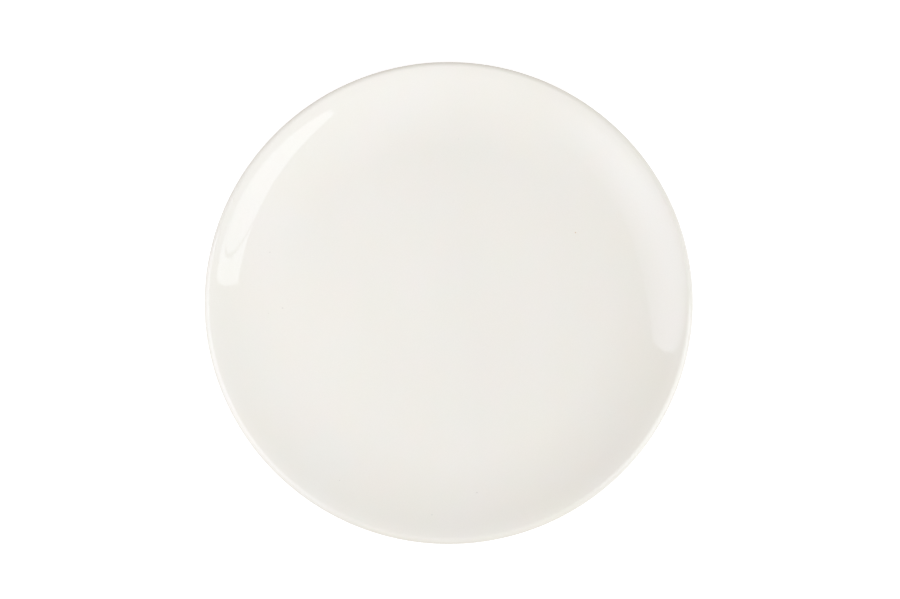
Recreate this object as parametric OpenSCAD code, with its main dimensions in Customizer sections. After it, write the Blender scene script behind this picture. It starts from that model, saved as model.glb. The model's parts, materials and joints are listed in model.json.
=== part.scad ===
// Coupe dinner plate: a round fired body that stands on a foot ring, and its glaze coat.
// The origin is the centre of the standing face of the foot, and the axis of the plate is Z.

/* [Plate] */
// Overall diameter over the glaze
plate_d = 270; // [220:1:310]
// Thickness of the middle, from the face to the underside
base_t = 5.2; // [4.4:0.1:7]
// Thickness of the glaze coat
glaze_t = 0.3; // [0.15:0.05:0.5]

/* [Curved wall] */
// Width of the curved wall, from the flat middle out to its steepest ring
wall_w = 37.3; // [30:0.1:46]
// Slope of the wall at its steepest ring, in degrees
wall_slope = 26; // [20:0.5:32]
// Width of the rim, from the steepest ring out to the edge of the plate
rim_w = 9.7; // [7:0.1:11]
// Radius of the shoulder, which turns the wall over towards the lip
shoulder_r = 43; // [34:1:60]
// Thickness of the rounded lip
lip_t = 5.4; // [4.6:0.1:6.2]

/* [Foot ring] */
// Outer diameter of the foot ring
foot_d = 166; // [140:1:176]
// Width of the foot ring, from its inner to its outer flank
foot_w = 5; // [4:0.1:8]
// Height from the standing face up to the underside of the middle
foot_h = 3.6; // [3.2:0.1:6]
// Radius of the two edges of the standing face
foot_edge_r = 1.2; // [0.6:0.1:1.5]
// Radius of the hollows where the foot ring joins the underside
foot_fillet_r = 1.8; // [0.8:0.1:2.2]
// Height of the bare band that is wiped clean of glaze round the foot ring
bare_h = 1.4; // [1:0.1:2]

/* [Hidden] */
$fn = 360;
glaze_colour = [0.94, 0.92, 0.88];
fired_colour = [0.90, 0.86, 0.78];

// Chords of the round stretches stay this close to their arcs
arc_error = 0.008;

// The face: a flat middle, a hollow arc up to the steepest ring, then the shoulder and the lip
lip_r = lip_t / 2;
face_z = foot_h + base_t;
lip_centre_x = plate_d / 2 - lip_r;
steep_x = plate_d / 2 - rim_w;
well_x = steep_x - wall_w;
hollow_r = wall_w / sin(wall_slope);
hollow_centre = [well_x, face_z + hollow_r];
steep_z = hollow_centre.y - hollow_r * cos(wall_slope);
shoulder_centre = [steep_x + shoulder_r * sin(wall_slope), steep_z - shoulder_r * cos(wall_slope)];

// The shoulder meets the lip where both have the same slope
lip_slope = asin((shoulder_centre.x - lip_centre_x) / (shoulder_r - lip_r));
lip_centre = [lip_centre_x, shoulder_centre.y + (shoulder_r - lip_r) * cos(lip_slope)];

// The underside: one long arc, level at the foot ring, that runs into the lip
foot_outer_x = foot_d / 2;
foot_inner_x = foot_outer_x - foot_w;
sweep_run = lip_centre.x - foot_outer_x;
sweep_rise = lip_centre.y - foot_h;
sweep_r = (pow(sweep_run, 2) + pow(sweep_rise, 2) - pow(lip_r, 2)) / (2 * (sweep_rise - lip_r));
sweep_centre = [foot_outer_x, foot_h + sweep_r];
sweep_slope = asin(sweep_run / (sweep_r - lip_r));

// The hollow at the foot's outer side touches the flank and the underside arc
fillet_slope = asin(foot_fillet_r / (sweep_r + foot_fillet_r));
outer_fillet = sweep_centre + (sweep_r + foot_fillet_r) * [sin(fillet_slope), -cos(fillet_slope)];
inner_fillet = [foot_inner_x - foot_fillet_r, foot_h - foot_fillet_r];

// Points of an arc past its start, from one direction seen from its centre to another.
// Directions are angles in the section: 0 is outwards, 90 up, 180 inwards and -90 down.
function arc(centre, radius, from, to) =
    let (steps = ceil(abs(to - from) / (2 * acos(1 - arc_error / radius))))
    [for (i = [1:steps]) let (a = from + (to - from) * i / steps) centre + radius * [cos(a), sin(a)]];

function reversed(points) = [for (i = [len(points) - 1:-1:0]) points[i]];

// Section from the axis over the face, round the lip and back to the outer flank of the foot,
// with every surface drawn in by the inset
function outer_skin(inset) = concat(
    [[0, face_z - inset], [well_x, face_z - inset]],
    arc(hollow_centre, hollow_r + inset, -90, -90 + wall_slope),
    arc(shoulder_centre, shoulder_r - inset, 90 + wall_slope, 90 + lip_slope),
    arc(lip_centre, lip_r - inset, 90 + lip_slope, 90),
    arc(lip_centre, lip_r - inset, 90, 0),
    arc(lip_centre, lip_r - inset, 0, -90 + sweep_slope),
    arc(sweep_centre, sweep_r - inset, -90 + sweep_slope, -90 + fillet_slope),
    arc(outer_fillet, foot_fillet_r + inset, 90 + fillet_slope, 180)
);

// Section from the inner flank of the foot to the axis, drawn in alike
function inner_skin(inset) = concat(
    [[foot_inner_x + inset, inner_fillet.y]],
    arc(inner_fillet, foot_fillet_r + inset, 0, 90),
    [[0, foot_h + inset]]
);

// Standing face of the bare foot with its two rounded edges
function bare_foot() =
    let (
        outer_edge = [foot_outer_x - glaze_t - foot_edge_r, foot_edge_r],
        inner_edge = [foot_inner_x + glaze_t + foot_edge_r, foot_edge_r]
    )
    concat(
        [[outer_edge.x + foot_edge_r, outer_edge.y]],
        arc(outer_edge, foot_edge_r, 0, -90),
        [[inner_edge.x, 0]],
        arc(inner_edge, foot_edge_r, -90, -180)
    );

module fired_body() {
    color(fired_colour) rotate_extrude() {
        polygon(concat(outer_skin(glaze_t), bare_foot(), inner_skin(glaze_t)));
    }
}

// Coat over the face, round the lip and down the underside to the bare band of the foot
module outer_glaze() {
    bare_edge = [[foot_outer_x, bare_h], [foot_outer_x - glaze_t, bare_h]];
    color(glaze_colour) rotate_extrude() {
        polygon(concat(outer_skin(0), bare_edge, reversed(outer_skin(glaze_t))));
    }
}

// Coat of the underside within the foot ring
module base_glaze() {
    bare_edge = [[foot_inner_x + glaze_t, bare_h], [foot_inner_x, bare_h]];
    color(glaze_colour) rotate_extrude() {
        polygon(concat(bare_edge, inner_skin(0), reversed(inner_skin(glaze_t))));
    }
}

fired_body();
outer_glaze();
base_glaze();
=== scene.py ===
import json
import math
import bmesh
import bpy
from mathutils import Matrix, Vector


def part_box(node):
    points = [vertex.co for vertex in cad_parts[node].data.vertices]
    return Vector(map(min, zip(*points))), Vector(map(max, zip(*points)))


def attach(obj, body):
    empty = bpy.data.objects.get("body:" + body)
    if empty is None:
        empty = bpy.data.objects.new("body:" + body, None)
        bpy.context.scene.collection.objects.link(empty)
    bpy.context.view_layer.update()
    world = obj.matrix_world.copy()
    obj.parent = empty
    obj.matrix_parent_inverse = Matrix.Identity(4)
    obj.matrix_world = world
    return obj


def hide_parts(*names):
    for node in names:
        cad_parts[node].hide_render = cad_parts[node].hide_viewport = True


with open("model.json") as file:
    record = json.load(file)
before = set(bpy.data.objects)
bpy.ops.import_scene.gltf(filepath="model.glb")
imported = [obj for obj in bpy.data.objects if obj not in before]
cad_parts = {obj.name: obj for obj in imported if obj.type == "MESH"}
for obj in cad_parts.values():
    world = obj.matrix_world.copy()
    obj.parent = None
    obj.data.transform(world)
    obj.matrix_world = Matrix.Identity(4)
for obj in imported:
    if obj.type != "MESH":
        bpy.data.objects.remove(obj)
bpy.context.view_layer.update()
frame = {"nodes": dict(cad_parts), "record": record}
print("Frame loaded:", ", ".join(sorted(frame["nodes"])))

mm = 0.001
white = (1.0, 1.0, 1.0)
ontoGround = (1.0, 1.0, 0.0)
scene = bpy.context.scene


# Shared helpers

def feed(tree, node, sockets):
    # a socket is linked to another node's output, or set to a number or a colour
    for name, value in sockets.items():
        socket = node.inputs[name]
        if isinstance(value, bpy.types.NodeSocket):
            tree.links.new(value, socket)
        elif socket.type == "RGBA":
            socket.default_value = (*value, 1.0)
        else:
            socket.default_value = value


def addNode(tree, kind, sockets=None, **choices):
    node = tree.nodes.new(kind)
    for name, choice in choices.items():
        setattr(node, name, choice)
    feed(tree, node, sockets or {})
    return node


def newMaterial(name):
    mat = bpy.data.materials.new(name)
    mat.use_nodes = True
    tree = mat.node_tree
    tree.nodes.clear()
    shader = addNode(tree, "ShaderNodeBsdfPrincipled")
    addNode(tree, "ShaderNodeOutputMaterial", {"Surface": shader.outputs["BSDF"]})
    return mat, shader


def noiseNode(tree, coords, scale, detail=2.0, roughness=0.5, seed=0.0):
    settings = {"Vector": coords, "Scale": scale, "Detail": detail, "Roughness": roughness, "W": seed}
    return addNode(tree, "ShaderNodeTexNoise", settings, noise_dimensions="4D").outputs[0]


def cellDistance(tree, coords, scale):
    node = addNode(tree, "ShaderNodeTexVoronoi", {"Vector": coords, "Scale": scale},
                   voronoi_dimensions="3D", feature="F1")
    return node.outputs["Distance"]


def mapRange(tree, value, fromMin, fromMax, toMin, toMax, smooth=False):
    settings = {"Value": value, "From Min": fromMin, "From Max": fromMax,
                "To Min": toMin, "To Max": toMax}
    node = addNode(tree, "ShaderNodeMapRange", settings,
                   interpolation_type="SMOOTHSTEP" if smooth else "LINEAR")
    return node.outputs["Result"]


def pattern(tree, coords, noise, spread):
    # a noise, with one span of it spread over two values
    return mapRange(tree, noiseNode(tree, coords, *noise), *spread)


def mathNode(tree, operation, *values):
    node = addNode(tree, "ShaderNodeMath", dict(enumerate(values)), operation=operation)
    return node.outputs["Value"]


def vectorNode(tree, operation, *values):
    node = addNode(tree, "ShaderNodeVectorMath", dict(enumerate(values)), operation=operation)
    return node.outputs["Value" if operation == "LENGTH" else "Vector"]


def axesOf(tree, vector):
    return addNode(tree, "ShaderNodeSeparateXYZ", {"Vector": vector}).outputs


def mixColour(tree, factor, first, second, blend="MIX"):
    node = addNode(tree, "ShaderNodeMix", {0: factor, 6: first, 7: second},
                   data_type="RGBA", blend_type=blend)
    return node.outputs[2]


def tinted(tree, colour, tint):
    return mixColour(tree, 1.0, colour, tint, "MULTIPLY")


def bumped(tree, height):
    node = addNode(tree, "ShaderNodeBump", {"Height": height, "Strength": 1.0, "Distance": 1.0})
    return node.outputs["Normal"]


def groundDistance(tree, coords, x, y):
    # distance from an upright line through x, y
    offset = vectorNode(tree, "SUBTRACT", coords, (x, y, 0.0))
    return vectorNode(tree, "LENGTH", vectorNode(tree, "MULTIPLY", offset, ontoGround))


def stretched(tree, coords, turn, stretch):
    # coordinates for a pattern that is drawn out along one line of the face
    settings = {"Vector": coords, "Rotation": (0.0, 0.0, math.radians(turn)),
                "Scale": (1.0, stretch, 1.0)}
    return addNode(tree, "ShaderNodeMapping", settings).outputs["Vector"]


# The plate's section, as on a turner's drawing; overall sizes come from the frame

plateForm = {
    "wallWidth": 37.3 * mm,
    "wallSlope": math.radians(26),
    "rimWidth": 9.7 * mm,
    "shoulderRadius": 43 * mm,
    "lipThickness": 5.4 * mm,
    "glazeThickness": 0.3 * mm,
    "footWidth": 5 * mm,
    "footFillet": 1.8 * mm,
    "footEdge": 1.2 * mm,
    "glazeRoll": 0.2 * mm,        # radius of the coat's edge, where it was wiped off the foot
    "flatStep": 5.5 * mm,         # spacing of rings over the flat middle
    "longArcStep": math.radians(1.0),
    "shortArcStep": math.radians(7.5),
    "rollStep": math.radians(22.5),
    "turnSteps": 384,
}

mounts = {mount["name"]: mount for mount in frame["record"]["mounts"]}
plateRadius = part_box("outer_glaze")[1].x
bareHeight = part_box("outer_glaze")[0].z
faceHeight = mounts["middle_of_face"]["pos_m"][2]
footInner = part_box("base_glaze")[1].x - plateForm["glazeThickness"]
footOuter = footInner + plateForm["footWidth"]
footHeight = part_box("base_glaze")[1].z - plateForm["glazeThickness"]

# directions in the section, seen from the centre of an arc
outwards, upwards, inwards, downwards = 0.0, math.pi / 2, math.pi, -math.pi / 2


def polar(centre, radius, angle):
    return (centre[0] + radius * math.cos(angle), centre[1] + radius * math.sin(angle))


def arcPoints(centre, radius, start, end, step):
    # past its start, up to its end
    steps = max(1, math.ceil(abs(end - start) / step))
    return [polar(centre, radius, start + (end - start) * i / steps) for i in range(1, steps + 1)]


def flatPoints(start, end, height):
    steps = max(1, round(abs(end - start) / plateForm["flatStep"]))
    return [(start + (end - start) * i / steps, height) for i in range(1, steps + 1)]


def sectionCentres():
    form = plateForm
    lipRadius = form["lipThickness"] / 2
    lipX = plateRadius - lipRadius
    steepX = plateRadius - form["rimWidth"]
    hollowRadius = form["wallWidth"] / math.sin(form["wallSlope"])
    hollow = (steepX - form["wallWidth"], faceHeight + hollowRadius)
    steepZ = hollow[1] - hollowRadius * math.cos(form["wallSlope"])
    shoulder = (steepX + form["shoulderRadius"] * math.sin(form["wallSlope"]),
                steepZ - form["shoulderRadius"] * math.cos(form["wallSlope"]))
    lipSlope = math.asin((shoulder[0] - lipX) / (form["shoulderRadius"] - lipRadius))
    lip = (lipX, shoulder[1] + (form["shoulderRadius"] - lipRadius) * math.cos(lipSlope))
    run, rise = lip[0] - footOuter, lip[1] - footHeight
    sweepRadius = (run ** 2 + rise ** 2 - lipRadius ** 2) / (2 * (rise - lipRadius))
    sweep = (footOuter, footHeight + sweepRadius)
    sweepSlope = math.asin(run / (sweepRadius - lipRadius))
    filletSlope = math.asin(form["footFillet"] / (sweepRadius + form["footFillet"]))
    outerFillet = polar(sweep, sweepRadius + form["footFillet"], downwards + filletSlope)
    innerFillet = (footInner - form["footFillet"], footHeight - form["footFillet"])
    return {"lipRadius": lipRadius, "lip": lip, "lipSlope": lipSlope,
            "hollow": hollow, "hollowRadius": hollowRadius, "shoulder": shoulder,
            "sweep": sweep, "sweepRadius": sweepRadius, "sweepSlope": sweepSlope,
            "outerFillet": outerFillet, "innerFillet": innerFillet, "filletSlope": filletSlope}


def outerSkin(inset):
    # from the axis over the face, round the lip and back to the outer flank of the foot
    form, at = plateForm, sectionCentres()
    longStep, shortStep = form["longArcStep"], form["shortArcStep"]
    lip, lipRadius = at["lip"], at["lipRadius"] - inset
    points = [(0.0, faceHeight - inset)]
    points += flatPoints(0.0, at["hollow"][0], faceHeight - inset)
    points += arcPoints(at["hollow"], at["hollowRadius"] + inset,
                        downwards, downwards + form["wallSlope"], longStep)
    points += arcPoints(at["shoulder"], form["shoulderRadius"] - inset,
                        upwards + form["wallSlope"], upwards + at["lipSlope"], longStep)
    points += arcPoints(lip, lipRadius, upwards + at["lipSlope"], upwards, shortStep)
    points += arcPoints(lip, lipRadius, upwards, outwards, shortStep)
    points += arcPoints(lip, lipRadius, outwards, downwards + at["sweepSlope"], shortStep)
    points += arcPoints(at["sweep"], at["sweepRadius"] - inset,
                        downwards + at["sweepSlope"], downwards + at["filletSlope"], longStep)
    points += arcPoints(at["outerFillet"], form["footFillet"] + inset,
                        upwards + at["filletSlope"], inwards, shortStep)
    return points


def innerSkin(inset):
    # from the inner flank of the foot to the axis
    form, fillet = plateForm, sectionCentres()["innerFillet"]
    points = [(footInner + inset, fillet[1])]
    points += arcPoints(fillet, form["footFillet"] + inset, outwards, upwards, form["shortArcStep"])
    points += flatPoints(fillet[0], 0.0, footHeight + inset)
    return points


def glazeEdge(clayX, side):
    # the rolled end of the coat, where it was wiped off the foot
    roll, step = plateForm["glazeRoll"], plateForm["rollStep"]
    centre = (clayX + side * roll, bareHeight + roll)
    return [polar(centre, roll, outwards)] + arcPoints(centre, roll, outwards, -inwards, step)


def bareFoot():
    form = plateForm
    edge, step = form["footEdge"], form["shortArcStep"]
    outerEdge = (footOuter - form["glazeThickness"] - edge, edge)
    innerEdge = (footInner + form["glazeThickness"] + edge, edge)
    points = [polar(outerEdge, edge, outwards)]
    points += arcPoints(outerEdge, edge, outwards, downwards, step)
    points += [(innerEdge[0], 0.0)]
    points += arcPoints(innerEdge, edge, downwards, -inwards, step)
    return points


# Turning: a section curve is spun round the plate's axis, and warped as the kiln does

kilnWarp = {
    "Turn Steps": plateForm["turnSteps"],
    "Merge Distance": 0.002 * mm,
    "Warp Height": 0.12 * mm,
    "Warp Scale": 9.0,
    "Warp Seed": 3.0,
    "Warp Start": footOuter,
    "Warp End": plateRadius,
    "Wiped Height": bareHeight + 0.4 * mm,    # the coat's edge wanders up and down below this
    "Wiped Fade": 0.5 * mm,
    "Wiped Wander": 0.34 * mm,
    "Wiped Scale": 90.0,
    "Wiped Detail": 3.0,
}


def buildTurningTree():
    tree = bpy.data.node_groups.new("turnPlateSection", "GeometryNodeTree")
    face = tree.interface
    face.new_socket("Geometry", in_out="INPUT", socket_type="NodeSocketGeometry")
    face.new_socket("Geometry", in_out="OUTPUT", socket_type="NodeSocketGeometry")
    sockets = {}
    for name in kilnWarp:
        kind = "NodeSocketInt" if name == "Turn Steps" else "NodeSocketFloat"
        sockets[name] = face.new_socket(name, in_out="INPUT", socket_type=kind)
    sockets["Finish"] = face.new_socket("Finish", in_out="INPUT", socket_type="NodeSocketMaterial")
    given = addNode(tree, "NodeGroupInput").outputs

    # spin
    circle = addNode(tree, "GeometryNodeCurvePrimitiveCircle",
                     {"Resolution": given["Turn Steps"], "Radius": given["Warp End"]})
    spin = addNode(tree, "GeometryNodeCurveToMesh",
                   {"Curve": circle.outputs["Curve"], "Profile Curve": given["Geometry"]})
    merge = addNode(tree, "GeometryNodeMergeByDistance",
                    {"Geometry": spin.outputs["Mesh"], "Distance": given["Merge Distance"]})

    def swing(noise, weight, height):
        # up and down from where it was, half the height either way
        centred = mathNode(tree, "SUBTRACT", noise, 0.5)
        return mathNode(tree, "MULTIPLY", mathNode(tree, "MULTIPLY", centred, weight), height)

    # warp, nothing at the foot and most at the lip
    position = addNode(tree, "GeometryNodeInputPosition").outputs["Position"]
    ground = vectorNode(tree, "MULTIPLY", position, ontoGround)
    fromAxis = vectorNode(tree, "LENGTH", ground)
    towardsLip = mapRange(tree, fromAxis, given["Warp Start"], given["Warp End"], 0.0, 1.0, smooth=True)
    waves = noiseNode(tree, ground, given["Warp Scale"], detail=0.0, seed=given["Warp Seed"])
    warp = swing(waves, towardsLip, given["Warp Height"])

    # the wiped line wanders
    fadedOut = mathNode(tree, "ADD", given["Wiped Height"], given["Wiped Fade"])
    nearLine = mapRange(tree, axesOf(tree, position)["Z"], fadedOut, given["Wiped Height"],
                        0.0, 1.0, smooth=True)
    strokes = noiseNode(tree, ground, given["Wiped Scale"],
                        detail=given["Wiped Detail"], seed=given["Warp Seed"])
    wander = swing(strokes, nearLine, given["Wiped Wander"])

    offset = addNode(tree, "ShaderNodeCombineXYZ", {"Z": mathNode(tree, "ADD", warp, wander)})
    move = addNode(tree, "GeometryNodeSetPosition",
                   {"Geometry": merge.outputs["Geometry"], "Offset": offset.outputs["Vector"]})
    smooth = addNode(tree, "GeometryNodeSetShadeSmooth", {"Geometry": move.outputs["Geometry"]})
    realize = addNode(tree, "GeometryNodeRealizeInstances", {"Geometry": smooth.outputs["Geometry"]})
    finish = addNode(tree, "GeometryNodeSetMaterial",
                     {"Geometry": realize.outputs["Geometry"], "Material": given["Finish"]})
    addNode(tree, "NodeGroupOutput", {"Geometry": finish.outputs["Geometry"]})
    return tree, sockets


turningTree, turningSockets = buildTurningTree()


def turnPiece(name, section, material, nodeName, slotName, **changes):
    curve = bpy.data.curves.new(name + "Section", "CURVE")
    curve.dimensions = "3D"
    spline = curve.splines.new("POLY")
    spline.points.add(len(section) - 1)
    for point, (x, z) in zip(spline.points, section):
        # measured from the circle that it follows, which turns it over
        point.co = (x - plateRadius, -z, 0.0, 1.0)
    drawing = bpy.data.objects.new(name + "Section", curve)
    scene.collection.objects.link(drawing)
    modifier = drawing.modifiers.new("Turning", "NODES")
    modifier.node_group = turningTree
    for inputName, value in {**kilnWarp, "Finish": material, **changes}.items():
        modifier[turningSockets[inputName].identifier] = value
    bpy.context.view_layer.update()
    depsgraph = bpy.context.evaluated_depsgraph_get()
    mesh = bpy.data.meshes.new_from_object(drawing.evaluated_get(depsgraph), depsgraph=depsgraph)
    bpy.data.objects.remove(drawing)
    work = bmesh.new()
    work.from_mesh(mesh)
    bmesh.ops.recalc_face_normals(work, faces=work.faces)
    openEdges = sum(1 for edge in work.edges if not edge.is_manifold)
    work.to_mesh(mesh)
    work.free()
    piece = bpy.data.objects.new(name, mesh)
    scene.collection.objects.link(piece)
    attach(piece, "root")
    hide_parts(nodeName)
    low = [min(v.co[i] for v in mesh.vertices) for i in range(3)]
    high = [max(v.co[i] for v in mesh.vertices) for i in range(3)]
    print(f"{name}: {len(mesh.polygons)} faces, {openEdges} open edges, "
          f"{[round(v / mm, 2) for v in low]} to {[round(v / mm, 2) for v in high]} mm")


# Glaze: warm white, glassy, a little clouded, thinner over the lip and pooled round the foot

# A noise is its scale, detail, roughness and seed. A spread is the span of a measure that is
# used, and the two values that its ends stand for.
glazeLook = {
    "colour": (0.868, 0.852, 0.780),
    "ior": 1.5,
    "cloudRun": (42, 0.4),                    # turn in degrees, and how far it is drawn out
    "cloudNoise": (26.0, 3.0, 0.5, 1.0),
    "cloudSpread": (0.3, 0.7, 0.991, 1.007),
    "rosyNoise": (48.0, 4.0, 0.6, 4.2),
    "rosyTint": (1.006, 0.996, 1.002),
    "greenTint": (0.994, 1.003, 0.998),
    "creamNoise": (34.0, 4.0, 0.6, 7.7),
    "creamTint": (1.003, 1.000, 0.988),
    "mistTint": (0.996, 1.000, 1.010),
    "hueSpread": (0.35, 0.65, 0.0, 1.0),
    "grainNoise": (1400.0, 3.0, 0.65, 2.5),
    "grainSpread": (0.3, 0.7, 0.990, 1.010),
    "undersideSpread": (-0.2, -0.6, 0.0, 1.0),      # by how far the surface faces down
    "turningRings": 210.0,                    # to the metre
    "ringWobbleNoise": (12.0, 2.0, 0.5, 6.0),
    "ringWobbleSpread": (0.0, 1.0, -1.2 * mm, 1.2 * mm),
    "ringPlaceNoise": (16.0, 2.0, 0.5, 8.0),
    "ringPlaceSpread": (0.45, 0.65, 0.0, 0.010),
    "thinTint": (0.995, 0.989, 0.978),        # over the lip and at the wiped line
    "thinStart": 132.9 * mm,
    "thinLine": 0.7 * mm,
    "pooledTint": (0.972, 0.962, 0.940),      # in the hollow round the foot
    "pooledReach": 2.6 * mm,
    "pooledDepth": 0.8 * mm,
    "faceSpread": (footHeight + 4 * mm, footHeight + 4.4 * mm, 0.0, 1.0),
    "specks": [
        # across and back from the centre in mm, radius in mm, share of the tint, tint
        (-99.8, 27.4, 0.26, 0.8, "iron"),
        (-92.4, -3.9, 0.34, 0.7, "iron"),
        (-100.1, -7.1, 0.22, 0.6, "iron"),
        (71.0, 38.9, 0.36, 1.0, "rust"),
        (-9.1, -119.0, 0.34, 0.8, "ash"),
        (15.5, -106.6, 0.34, 0.8, "iron"),
        (-59.7, -100.2, 0.26, 0.7, "iron"),
        (5.6, 92.6, 0.30, 0.5, "ash"),
    ],
    "speckTints": {"iron": (0.66, 0.63, 0.58), "rust": (0.72, 0.58, 0.42), "ash": (0.70, 0.71, 0.66)},
    "speckEdge": (1.5, 0.5),                  # where it starts and is full, in radii
    "raggedNoise": (2600.0, 2.0, 0.5, 3.3),
    "raggedSpread": (0.3, 0.7, -0.12 * mm, 0.12 * mm),
    "scatterScale": 85.0,
    "scatterSpread": (0.035, 0.018, 0.0, 0.7),
    "smearRun": (-25, 0.3),
    "smearNoise": (30.0, 4.0, 0.6, 9.0),
    "smearSpread": (0.4, 0.75, 0.016, 0.034),       # roughness
    "waveNoise": (42.0, 1.0, 0.5, 5.0),
    "waveSpread": (0.0, 1.0, 0.0, 0.030 * mm),
    "skinNoise": (420.0, 2.0, 0.5, 5.5),
    "skinSpread": (0.0, 1.0, 0.0, 0.0012 * mm),
    "pinholeSpread": (0.03, 0.0, 0.0, -0.05 * mm),
}


def makeGlaze():
    look = glazeLook
    mat, shader = newMaterial("warmWhiteGlaze")
    tree = mat.node_tree
    coords = addNode(tree, "ShaderNodeTexCoord").outputs["Object"]
    height = axesOf(tree, coords)["Z"]
    fromAxis = groundDistance(tree, coords, 0.0, 0.0)
    facing = axesOf(tree, addNode(tree, "ShaderNodeTexCoord").outputs["Normal"])["Z"]
    underneath = mapRange(tree, facing, *look["undersideSpread"])

    # clouding: broad and drawn out, then two finer ones of hue, then the grain of the melt
    run = stretched(tree, coords, *look["cloudRun"])
    colour = tinted(tree, look["colour"], pattern(tree, run, look["cloudNoise"], look["cloudSpread"]))
    rosy = pattern(tree, coords, look["rosyNoise"], look["hueSpread"])
    colour = tinted(tree, colour, mixColour(tree, rosy, look["greenTint"], look["rosyTint"]))
    cream = pattern(tree, coords, look["creamNoise"], look["hueSpread"])
    colour = tinted(tree, colour, mixColour(tree, cream, look["mistTint"], look["creamTint"]))
    colour = tinted(tree, colour, pattern(tree, coords, look["grainNoise"], look["grainSpread"]))

    # below, faint rings from the turning, lost in places
    wobble = pattern(tree, coords, look["ringWobbleNoise"], look["ringWobbleSpread"])
    turns = mathNode(tree, "MULTIPLY", mathNode(tree, "ADD", fromAxis, wobble),
                     look["turningRings"] * 2 * math.pi)
    kept = pattern(tree, coords, look["ringPlaceNoise"], look["ringPlaceSpread"])
    kept = mathNode(tree, "MULTIPLY", kept, underneath)
    rings = mathNode(tree, "MULTIPLY", mathNode(tree, "SINE", turns), kept)
    colour = tinted(tree, colour, mathNode(tree, "ADD", rings, 1.0))

    # thin over the lip and down to the wiped line, pooled in the hollow of the foot
    thinLip = mapRange(tree, fromAxis, look["thinStart"], plateRadius, 0.0, 1.0, smooth=True)
    thinLine = mapRange(tree, height, bareHeight + look["thinLine"], bareHeight, 0.0, 1.0, smooth=True)
    colour = mixColour(tree, mathNode(tree, "MAXIMUM", thinLip, thinLine), colour,
                       tinted(tree, colour, look["thinTint"]))
    fromFoot = mathNode(tree, "SUBTRACT", fromAxis, (footInner + footOuter) / 2)
    fromFoot = mathNode(tree, "ABSOLUTE", fromFoot)
    flank = plateForm["footWidth"] / 2
    besideFoot = mapRange(tree, fromFoot, flank + look["pooledReach"], flank, 0.0, 1.0, smooth=True)
    lowDown = mapRange(tree, height, footHeight + look["pooledDepth"], footHeight, 0.0, 1.0, smooth=True)
    colour = mixColour(tree, mathNode(tree, "MULTIPLY", besideFoot, lowDown), colour,
                       tinted(tree, colour, look["pooledTint"]))

    # specks that burnt through: the ones to be seen on the face, and a finer scatter below it
    onFace = mapRange(tree, height, *look["faceSpread"])
    ragged = pattern(tree, coords, look["raggedNoise"], look["raggedSpread"])
    for x, y, radius, share, tintName in look["specks"]:
        distance = mathNode(tree, "ADD", groundDistance(tree, coords, x * mm, y * mm), ragged)
        start, full = (radius * mm * edge for edge in look["speckEdge"])
        spot = mapRange(tree, distance, start, full, 0.0, share, smooth=True)
        spot = mathNode(tree, "MULTIPLY", spot, onFace)
        colour = mixColour(tree, spot, colour, look["speckTints"][tintName])
    scatter = cellDistance(tree, coords, look["scatterScale"])
    fine = mapRange(tree, scatter, *look["scatterSpread"], smooth=True)
    fine = mathNode(tree, "MULTIPLY", fine, underneath)
    colour = mixColour(tree, fine, colour, look["speckTints"]["iron"])

    # gloss: very even, a little duller in faint smears
    smears = stretched(tree, coords, *look["smearRun"])
    roughness = pattern(tree, smears, look["smearNoise"], look["smearSpread"])

    # surface: slow waves of the melt, its fine skin, and pinholes below
    waves = pattern(tree, coords, look["waveNoise"], look["waveSpread"])
    skin = pattern(tree, coords, look["skinNoise"], look["skinSpread"])
    pits = mathNode(tree, "MULTIPLY", mapRange(tree, scatter, *look["pinholeSpread"]), underneath)
    relief = mathNode(tree, "ADD", mathNode(tree, "ADD", waves, skin), pits)
    feed(tree, shader, {"Base Color": colour, "Roughness": roughness, "IOR": look["ior"],
                        "Normal": bumped(tree, relief)})
    return mat


# Fired clay: the bare ring of the foot, sanded, toasted along the glaze line and rubbed where it stands

clayLook = {
    "colour": (0.74, 0.68, 0.58),
    "sheen": 0.35,                            # share of a polished surface's reflection
    "patchNoise": (60.0, 3.0, 0.5, 1.5),
    "patchSpread": (0.3, 0.7, 0.94, 1.04),
    "grainNoise": (1800.0, 4.0, 0.7, 2.0),
    "grainSpread": (0.3, 0.7, 0.88, 1.08),
    "sandSpread": (0.0, 1.0, 0.0, 0.05 * mm),
    "toasted": (0.60, 0.45, 0.31),
    "toastedSpread": (0.8 * mm, bareHeight, 0.0, 0.75),
    "toastNoise": (130.0, 2.0, 0.5, 6.5),
    "toastWander": (0.3, 0.7, -0.2 * mm, 0.2 * mm),
    "iron": (0.26, 0.20, 0.15),
    "gritScale": 620.0,
    "ironSpread": (0.16, 0.10, 0.0, 0.8),
    "pitSpread": (0.2, 0.05, 0.0, -0.03 * mm),
    "rubbed": (0.56, 0.52, 0.46),
    "rubbedTo": 0.25 * mm,
    "scuffNoise": (240.0, 5.0, 0.75, 8.8),
    "scuffSpread": (0.45, 0.62, 0.0, 0.7),
    "roughnessSpread": (0.35, 0.65, 0.92, 0.72),
}


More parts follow.
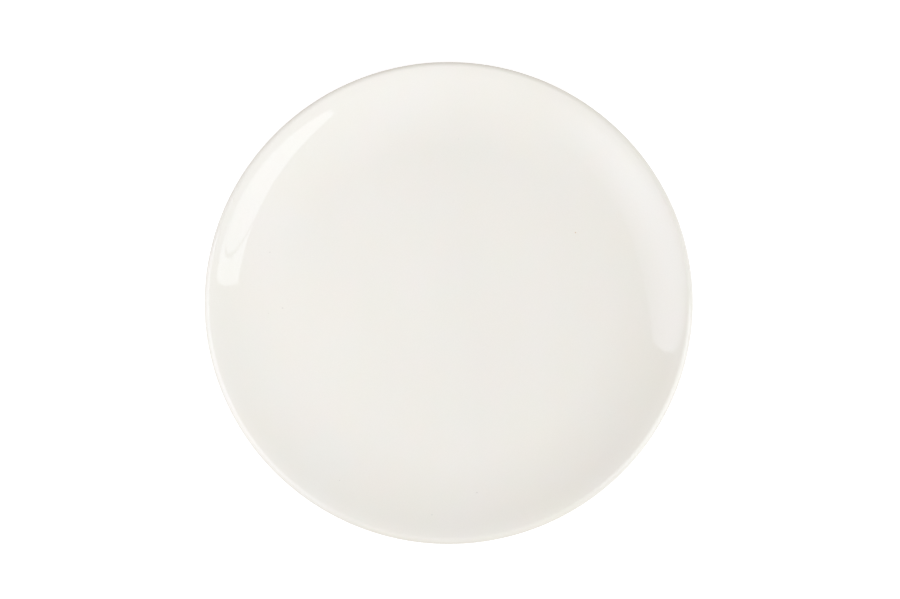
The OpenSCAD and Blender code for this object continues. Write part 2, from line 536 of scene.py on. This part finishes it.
def makeClay():
    look = clayLook
    mat, shader = newMaterial("bareFiredClay")
    tree = mat.node_tree
    coords = addNode(tree, "ShaderNodeTexCoord").outputs["Object"]
    height = axesOf(tree, coords)["Z"]
    colour = tinted(tree, look["colour"], pattern(tree, coords, look["patchNoise"], look["patchSpread"]))
    grain = noiseNode(tree, coords, *look["grainNoise"])
    colour = tinted(tree, colour, mapRange(tree, grain, *look["grainSpread"]))

    wander = pattern(tree, coords, look["toastNoise"], look["toastWander"])
    toasted = mapRange(tree, mathNode(tree, "ADD", height, wander), *look["toastedSpread"], smooth=True)
    colour = mixColour(tree, toasted, colour, look["toasted"])

    grit = cellDistance(tree, coords, look["gritScale"])
    ironSpots = mapRange(tree, grit, *look["ironSpread"], smooth=True)
    colour = mixColour(tree, ironSpots, colour, look["iron"])

    scuffs = noiseNode(tree, coords, *look["scuffNoise"])
    standing = mapRange(tree, height, look["rubbedTo"], 0.0, 0.0, 1.0, smooth=True)
    rubbed = mathNode(tree, "MULTIPLY", mapRange(tree, scuffs, *look["scuffSpread"]), standing)
    colour = mixColour(tree, rubbed, colour, look["rubbed"])

    sand = mapRange(tree, grain, *look["sandSpread"])
    pits = mapRange(tree, grit, *look["pitSpread"])
    feed(tree, shader, {"Base Color": colour, "Specular IOR Level": look["sheen"],
                        "Roughness": mapRange(tree, scuffs, *look["roughnessSpread"]),
                        "Normal": bumped(tree, mathNode(tree, "ADD", sand, pits))})
    return mat


glaze = makeGlaze()
clay = makeClay()
print("Glaze and clay mixed")

thickness = plateForm["glazeThickness"]
turnPiece("outerGlazeCoat",
          outerSkin(0.0) + glazeEdge(footOuter - thickness, 1) + outerSkin(thickness)[::-1],
          glaze, "outer_glaze", "glaze")
turnPiece("baseGlazeCoat",
          innerSkin(thickness)[::-1] + glazeEdge(footInner + thickness, -1) + innerSkin(0.0),
          glaze, "base_glaze", "glaze")
turnPiece("firedClayBody",
          outerSkin(thickness) + bareFoot() + innerSkin(thickness),
          clay, "fired_body", "fired_clay", **{"Wiped Wander": 0.0})


# Floor and world

studio = {
    "floorColour": (0.86, 0.86, 0.86),
    "floorRoughness": 0.9,
    "floorReach": 3.0,
    "floorHeight": -0.1 * mm,     # clear of the standing face
    "glow": (0.40, 0.90),         # of the floor, at the plate and from behind the lamps on
    "glowReach": (0.20, 0.55),
    "roomLight": (0.580, 0.543, 0.493),
    "rightLight": (0.175, 0.198, 0.235),      # added towards the right, and taken off to the left
    "backLight": (-0.122, -0.122, -0.116),
    "tableLight": (0.14, 0.17, 0.23),         # thrown back by the table
    "tableSpread": (0.1, -0.25, 0.0, 1.0),    # by how far a ray goes down
}


def seenRays(tree):
    path = addNode(tree, "ShaderNodeLightPath").outputs
    seen = mathNode(tree, "MAXIMUM", path["Is Camera Ray"], path["Is Glossy Ray"])
    return mathNode(tree, "MAXIMUM", seen, path["Is Transmission Ray"])


def makeFloor():
    mat, shader = newMaterial("paleFloor")
    tree = mat.node_tree
    fromPlate = groundDistance(tree, addNode(tree, "ShaderNodeTexCoord").outputs["Object"], 0.0, 0.0)
    glow = mapRange(tree, fromPlate, *studio["glowReach"], *studio["glow"], smooth=True)
    feed(tree, shader, {"Base Color": studio["floorColour"], "Roughness": studio["floorRoughness"],
                        "Specular IOR Level": 0.0, "Emission Color": white,
                        "Emission Strength": mathNode(tree, "MULTIPLY", seenRays(tree), glow)})
    # clear from below, so that the foot can be looked at
    fromBelow = addNode(tree, "ShaderNodeNewGeometry").outputs["Backfacing"]
    clear = addNode(tree, "ShaderNodeBsdfTransparent").outputs["BSDF"]
    sided = addNode(tree, "ShaderNodeMixShader", {0: fromBelow, 1: shader.outputs["BSDF"], 2: clear})
    feed(tree, tree.nodes["Material Output"], {"Surface": sided.outputs["Shader"]})
    mesh = bpy.data.meshes.new("floor")
    reach, height = studio["floorReach"], studio["floorHeight"]
    corners = [(x * reach, y * reach, height) for x, y in ((-1, -1), (1, -1), (1, 1), (-1, 1))]
    mesh.from_pydata(corners, [], [(0, 1, 2, 3)])
    floor = bpy.data.objects.new("floor", mesh)
    mesh.materials.append(mat)
    scene.collection.objects.link(floor)
    floor.visible_diffuse = False
    floor.visible_glossy = False
    floor.visible_shadow = False


def makeWorld():
    world = bpy.data.worlds.new("studioRoom")
    scene.world = world
    world.use_nodes = True
    tree = world.node_tree
    tree.nodes.clear()
    axes = axesOf(tree, addNode(tree, "ShaderNodeTexCoord").outputs["Generated"])
    below = mapRange(tree, axes["Z"], *studio["tableSpread"], smooth=True)
    light = studio["roomLight"]
    for share, part in ((axes["X"], "rightLight"), (axes["Y"], "backLight"), (below, "tableLight")):
        light = vectorNode(tree, "MULTIPLY_ADD", share, studio[part], light)
    light = mixColour(tree, seenRays(tree), light, white)
    background = addNode(tree, "ShaderNodeBackground", {"Color": light, "Strength": 1.0})
    addNode(tree, "ShaderNodeOutputWorld", {"Surface": background.outputs["Background"]})


makeFloor()
makeWorld()
print("Floor laid and room lit")

# Lamps: a softbox at each side, both turned a little to the front and leaning over the plate

softboxes = {
    "keySoftbox": {
        "turn": -16.7, "lean": 30.0, "reach": 0.947,
        "ends": (-0.275, 0.295), "heights": (0.15, 0.90),
        "radiance": 1.68, "tint": (0.93, 1.0, 1.15),
        "ramps": [
            (1.0, 0.197, 1.141, 1.155, 0.0),      # slanting end at the back
            (0.0, 1.0, 0.72, 0.50, 0.93),         # a little dimmer towards the table
        ],
        # an arc across the panel, in metres from its corner; beyond it the light counts more
        "strap": {"centre": (0.195, 0.651), "radius": 0.289, "halfWidth": 0.007, "beyond": 1.10},
    },
    "fillSoftbox": {
        "turn": 208.5, "lean": 15.0, "reach": 0.425,
        "ends": (-0.42, 0.45), "heights": (0.03, 0.91),
        "radiance": 2.15, "tint": (0.94, 1.0, 1.20),
        "ramps": [
            (0.0, 1.0, 0.50, 1.02, 0.30),         # dimmer towards the top
            (0.0, 1.0, 0.44, 0.28, 0.45),         # and towards the table
            (1.0, 0.35, 0.56, 0.92, 0.0),         # fades out at the front end
            (-3.8, 1.0, 0.65, 0.69, 0.0),         # corner at the back end, rounded off in two cuts
            (-1.0, 1.0, 0.785, 0.825, 0.0),
        ],
    },
}


def strapShare(tree, place, lamp, strap):
    centreX, centreY = strap["centre"]
    fromCentre = vectorNode(tree, "MULTIPLY_ADD", place,
                            (lamp.size, lamp.size_y, 0.0), (-centreX, -centreY, 0.0))
    fromCentre = vectorNode(tree, "LENGTH", fromCentre)
    onStrap = mathNode(tree, "COMPARE", fromCentre, strap["radius"], strap["halfWidth"])
    pastStrap = strap["radius"] + strap["halfWidth"]
    beyond = mapRange(tree, fromCentre, strap["radius"], pastStrap, 1.0, strap["beyond"])
    return mathNode(tree, "MULTIPLY", beyond, mathNode(tree, "SUBTRACT", 1.0, onStrap))


def shadePanel(lamp, box):
    # each ramp starts with how far it counts along and up the panel
    lamp.use_nodes = True
    tree = lamp.node_tree
    place = addNode(tree, "ShaderNodeNewGeometry").outputs["Parametric"]
    axes = axesOf(tree, place)
    strength = 1.0
    for alongShare, upShare, start, end, share in box["ramps"]:
        along = mathNode(tree, "MULTIPLY", axes["X"], alongShare)
        up = mathNode(tree, "MULTIPLY", axes["Y"], upShare)
        ramp = mapRange(tree, mathNode(tree, "ADD", along, up), start, end, 1.0, share, smooth=True)
        strength = mathNode(tree, "MULTIPLY", strength, ramp)
    if "strap" in box:
        strength = mathNode(tree, "MULTIPLY", strength, strapShare(tree, place, lamp, box["strap"]))
    feed(tree, tree.nodes["Emission"], {"Strength": strength})


def addSoftbox(name, box):
    # its ends are measured along it, anticlockwise, and its reach is taken at the floor
    turn, lean = math.radians(box["turn"]), math.radians(box["lean"])
    outward = Vector((math.cos(turn), math.sin(turn), 0.0))
    along = Vector((-math.sin(turn), math.cos(turn), 0.0))
    upPanel = Vector((0.0, 0.0, math.cos(lean))) - outward * math.sin(lean)
    low, high = [height / math.cos(lean) for height in box["heights"]]
    lamp = bpy.data.lights.new(name, "AREA")
    lamp.shape = "RECTANGLE"
    lamp.size = box["ends"][1] - box["ends"][0]
    lamp.size_y = high - low
    lamp.energy = box["radiance"] * lamp.size * lamp.size_y * math.pi
    lamp.color = box["tint"]
    shadePanel(lamp, box)
    holder = bpy.data.objects.new(name, lamp)
    middle = along * sum(box["ends"]) / 2 + upPanel * (low + high) / 2
    holder.location = outward * box["reach"] + middle
    holder.rotation_euler = Matrix((along, upPanel, along.cross(upPanel))).transposed().to_euler()
    scene.collection.objects.link(holder)


for softboxName, softbox in softboxes.items():
    addSoftbox(softboxName, softbox)
print("Softboxes lit")

# Camera at the photograph's angle, for an image of 900 by 599

cameraView = {
    "elevation": math.radians(80.8),
    "distance": 1.2,
    "lens": 85.55,
    "sensorWidth": 36.0,
    "imageWidth": 900,
    "imageHeight": 599,
    "originPixel": (448.68, 303.67),
}


def makeCamera():
    view = cameraView
    data = bpy.data.cameras.new("camera")
    data.sensor_width = view["sensorWidth"]
    data.lens = view["lens"]
    originX, originY = view["originPixel"]
    data.shift_x = (view["imageWidth"] / 2 - originX) / view["imageWidth"]
    data.shift_y = (originY - view["imageHeight"] / 2) / view["imageWidth"]
    holder = bpy.data.objects.new("camera", data)
    scene.collection.objects.link(holder)
    back = Vector((0.0, -math.cos(view["elevation"]), math.sin(view["elevation"])))
    holder.location = back * view["distance"]
    holder.rotation_euler = (-back).to_track_quat("-Z", "Y").to_euler()
    scene.camera = holder


makeCamera()
scene.view_settings.view_transform = "Standard"
print("Camera set")
